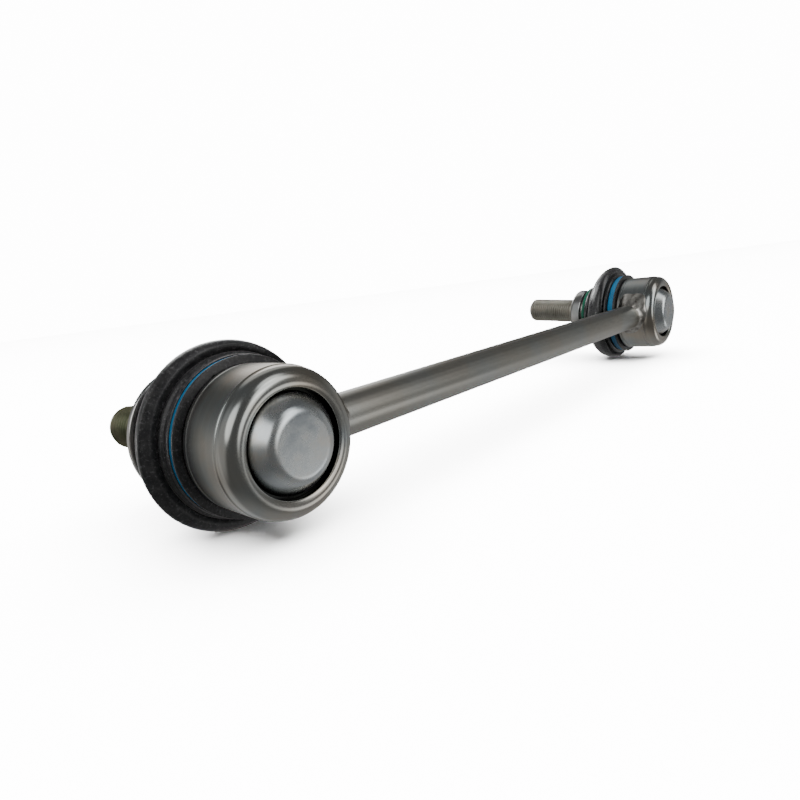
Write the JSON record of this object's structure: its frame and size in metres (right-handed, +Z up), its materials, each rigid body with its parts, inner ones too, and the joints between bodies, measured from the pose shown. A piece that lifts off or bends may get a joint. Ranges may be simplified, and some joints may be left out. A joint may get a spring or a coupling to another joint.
{
  "type": "stabilizer link",
  "caption": "Steel stabilizer link: round rod welded to a ball joint housing at each end, with threaded ball studs, pressed end caps and rubber dust boots held by rings.",
  "frame": {"origin": "centre of the nut seat on the strut end stud", "axes": "+X along the rod from the bar end to the strut end, +Y along the axes of both housings towards the stud tips, +Z up as the link lies on its boots"},
  "size_m": [0.272, 0.0722, 0.0466],
  "materials": {
    "rod_steel": "satin bare steel with a faint oil tint",
    "housing_steel": "satin turned steel with a faint oil tint",
    "weld_steel": "rippled weld metal, darker in the hollows",
    "cap_steel": "pressed steel with a thin bluish zinc coat",
    "seat_polymer": "natural acetal",
    "stud_steel": "steel with a dull olive passivation",
    "boot_rubber": "moulded black rubber with a fine grain",
    "band_blue": "satin blue coat",
    "ring_green": "satin green coat"
  },
  "bodies": {
    "link": {"link_rod": "rod_steel", "bar_end_housing": "housing_steel", "strut_end_housing": "housing_steel", "bar_end_weld": "weld_steel", "strut_end_weld": "weld_steel", "bar_end_cap": "cap_steel", "strut_end_cap": "cap_steel", "bar_end_ball_seat": "seat_polymer", "strut_end_ball_seat": "seat_polymer", "bar_end_boot_band": "band_blue", "strut_end_boot_band": "band_blue"},
    "bar_boot": {"bar_end_boot": "boot_rubber"},
    "bar_ring": {"bar_end_boot_ring": "ring_green"},
    "bar_stud": {"bar_end_ball_stud": "stud_steel"},
    "strut_boot": {"strut_end_boot": "boot_rubber"},
    "strut_ring": {"strut_end_boot_ring": "ring_green"},
    "strut_stud": {"strut_end_ball_stud": "stud_steel"}
  },
  "joints": [
    {"name": "bar_swing", "type": "hinge", "parent": "link", "child": "bar_boot", "pos_m": [-0.225, -0.0319, -0.00251], "axis": [0, 0, 1], "range_deg": [-25, 11], "deforming": ["bar_end_boot"]},
    {"name": "bar_tilt", "type": "hinge", "parent": "bar_boot", "child": "bar_ring", "pos_m": [-0.225, -0.0319, -0.00251], "axis": [0.9925, 0.1219, 0], "range_deg": [-18, 18], "deforming": ["bar_end_boot"]},
    {"name": "bar_spin", "type": "hinge", "parent": "bar_ring", "child": "bar_stud", "pos_m": [-0.225, -0.0319, -0.00251], "axis": [-0.1219, 0.9925, 0], "continuous": true},
    {"name": "strut_swing", "type": "hinge", "parent": "link", "child": "strut_boot", "pos_m": [0, -0.0319, -0.00251], "axis": [0, 0, 1], "range_deg": [-18, 18], "deforming": ["strut_end_boot"]},
    {"name": "strut_tilt", "type": "hinge", "parent": "strut_boot", "child": "strut_ring", "pos_m": [0, -0.0319, -0.00251], "axis": [1, 0, 0], "range_deg": [-22, 13], "deforming": ["strut_end_boot"]},
    {"name": "strut_spin", "type": "hinge", "parent": "strut_ring", "child": "strut_stud", "pos_m": [0, -0.0319, -0.00251], "axis": [0, 0.9969, 0.0785], "continuous": true}
  ]
}
